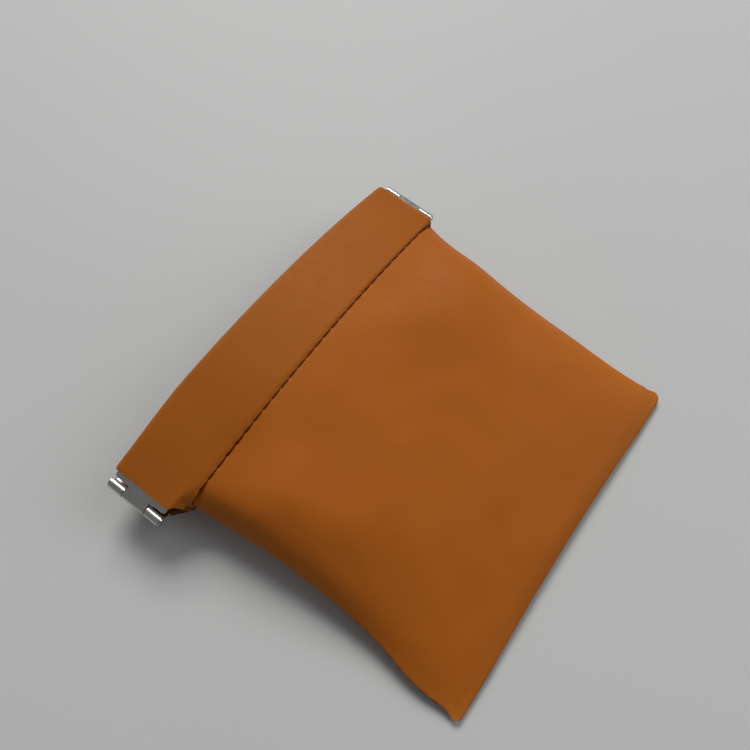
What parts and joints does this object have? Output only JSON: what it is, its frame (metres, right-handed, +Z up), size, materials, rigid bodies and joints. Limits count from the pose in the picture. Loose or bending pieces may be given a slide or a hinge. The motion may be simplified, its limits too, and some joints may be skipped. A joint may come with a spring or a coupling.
{
  "type": "coin purse",
  "caption": "Small leather pouch whose mouth is held by sprung steel strips hinged at both ends; squeezing the ends together opens it and letting go closes it.",
  "frame": {"origin": "middle of the outline at the level of the surface it rests on", "axes": "+X along the mouth towards the right hinge, +Y from the bottom fold towards the mouth, +Z up out of the resting face"},
  "size_m": [0.1106, 0.0958, 0.0212],
  "materials": {
    "leather": "smooth matt tan synthetic leather",
    "spring_steel": "nickel-plated, satin",
    "thread": "waxed brown thread"
  },
  "bodies": {
    "pouch_back": {"back_panel_center": "leather", "bottom_fold": "leather"},
    "pouch_back_left": {"back_panel_left": "leather", "left_seam_stitching": "thread"},
    "pouch_back_right": {"back_panel_right": "leather", "right_seam_stitching": "thread"},
    "pouch_front": {"front_panel_center": "leather"},
    "pouch_front_left": {"front_panel_left": "leather"},
    "pouch_front_right": {"front_panel_right": "leather"},
    "mouth_back": {"back_casing_center": "leather", "back_strip_center": "spring_steel", "back_stitching_center": "thread"},
    "mouth_back_left": {"back_casing_left": "leather", "back_strip_left": "spring_steel", "left_pin": "spring_steel", "back_stitching_left": "thread"},
    "mouth_back_right": {"back_casing_right": "leather", "back_strip_right": "spring_steel", "right_pin": "spring_steel", "back_stitching_right": "thread"},
    "mouth_front": {"front_casing_center": "leather", "front_strip_center": "spring_steel", "front_stitching_center": "thread"},
    "mouth_front_left": {"front_casing_left": "leather", "front_strip_left": "spring_steel", "front_stitching_left": "thread"},
    "mouth_front_right": {"front_casing_right": "leather", "front_strip_right": "spring_steel", "front_stitching_right": "thread"}
  },
  "joints": [
    {"name": "left_hinge", "type": "hinge", "parent": "mouth_back_left", "child": "mouth_front_left", "pos_m": [-0.054, 0.03745, 0.01078], "axis": [0, -0.9948, -0.1021], "range_deg": [-19, 50]},
    {"name": "mouth_tilt", "type": "hinge", "parent": "pouch_back", "child": "mouth_back", "pos_m": [0, 0.02594, 0.0005], "axis": [1, 0, 0], "range_deg": [-5, 12.4]},
    {"name": "back_left_flex", "type": "hinge", "parent": "mouth_back", "child": "mouth_back_left", "pos_m": [-0.01828, 0.03821, 0.00337], "axis": [0, 0.9948, 0.1021], "range_deg": [-10, 25.5]},
    {"name": "back_right_flex", "type": "hinge", "parent": "mouth_back", "child": "mouth_back_right", "pos_m": [0.01828, 0.03821, 0.00337], "axis": [0, -0.9948, -0.1021], "range_deg": [-10, 25.5]},
    {"name": "front_left_flex", "type": "hinge", "parent": "mouth_front_left", "child": "mouth_front", "pos_m": [-0.01828, 0.03669, 0.01818], "axis": [0, 0.9948, 0.1021], "range_deg": [-10, 25.5]},
    {"name": "front_right_flex", "type": "hinge", "parent": "mouth_front", "child": "mouth_front_right", "pos_m": [0.01828, 0.03669, 0.01818], "axis": [0, 0.9948, 0.1021], "range_deg": [-10, 25.5]},
    {"name": "front_swing", "type": "hinge", "parent": "pouch_back", "child": "pouch_front", "pos_m": [0, -0.04562, 0.00225], "axis": [1, 0, 0], "range_deg": [-9.6, 24.4]},
    {"name": "back_left_fold", "type": "hinge", "parent": "pouch_back", "child": "pouch_back_left", "pos_m": [-0.045, -0.04562, 0.00045], "axis": [0.3566, 0.9343, 0], "range_deg": [-12.6, 32.4]},
    {"name": "back_right_fold", "type": "hinge", "parent": "pouch_back", "child": "pouch_back_right", "pos_m": [0.045, -0.04562, 0.00045], "axis": [0.3566, -0.9343, 0], "range_deg": [-12.6, 32.4]},
    {"name": "front_left_fold", "type": "hinge", "parent": "pouch_front", "child": "pouch_front_left", "pos_m": [-0.045, -0.04562, 0.00405], "axis": [-0.3557, -0.9148, -0.1911], "range_deg": [-12.6, 32.4]},
    {"name": "front_right_fold", "type": "hinge", "parent": "pouch_front", "child": "pouch_front_right", "pos_m": [0.045, -0.04562, 0.00405], "axis": [-0.3557, 0.9148, 0.1911], "range_deg": [-12.6, 32.4]}
  ],
  "couplings": [
    {"joint": "mouth_tilt", "follows": "left_hinge", "ratio": 0.237},
    {"joint": "back_left_flex", "follows": "left_hinge", "ratio": 0.5},
    {"joint": "back_right_flex", "follows": "left_hinge", "ratio": 0.5},
    {"joint": "front_left_flex", "follows": "left_hinge", "ratio": 0.5},
    {"joint": "front_right_flex", "follows": "left_hinge", "ratio": 0.5},
    {"joint": "front_swing", "follows": "left_hinge", "ratio": 0.478},
    {"joint": "back_left_fold", "follows": "left_hinge", "ratio": 0.637},
    {"joint": "back_right_fold", "follows": "left_hinge", "ratio": 0.637},
    {"joint": "front_left_fold", "follows": "left_hinge", "ratio": 0.637},
    {"joint": "front_right_fold", "follows": "left_hinge", "ratio": 0.637}
  ]
}
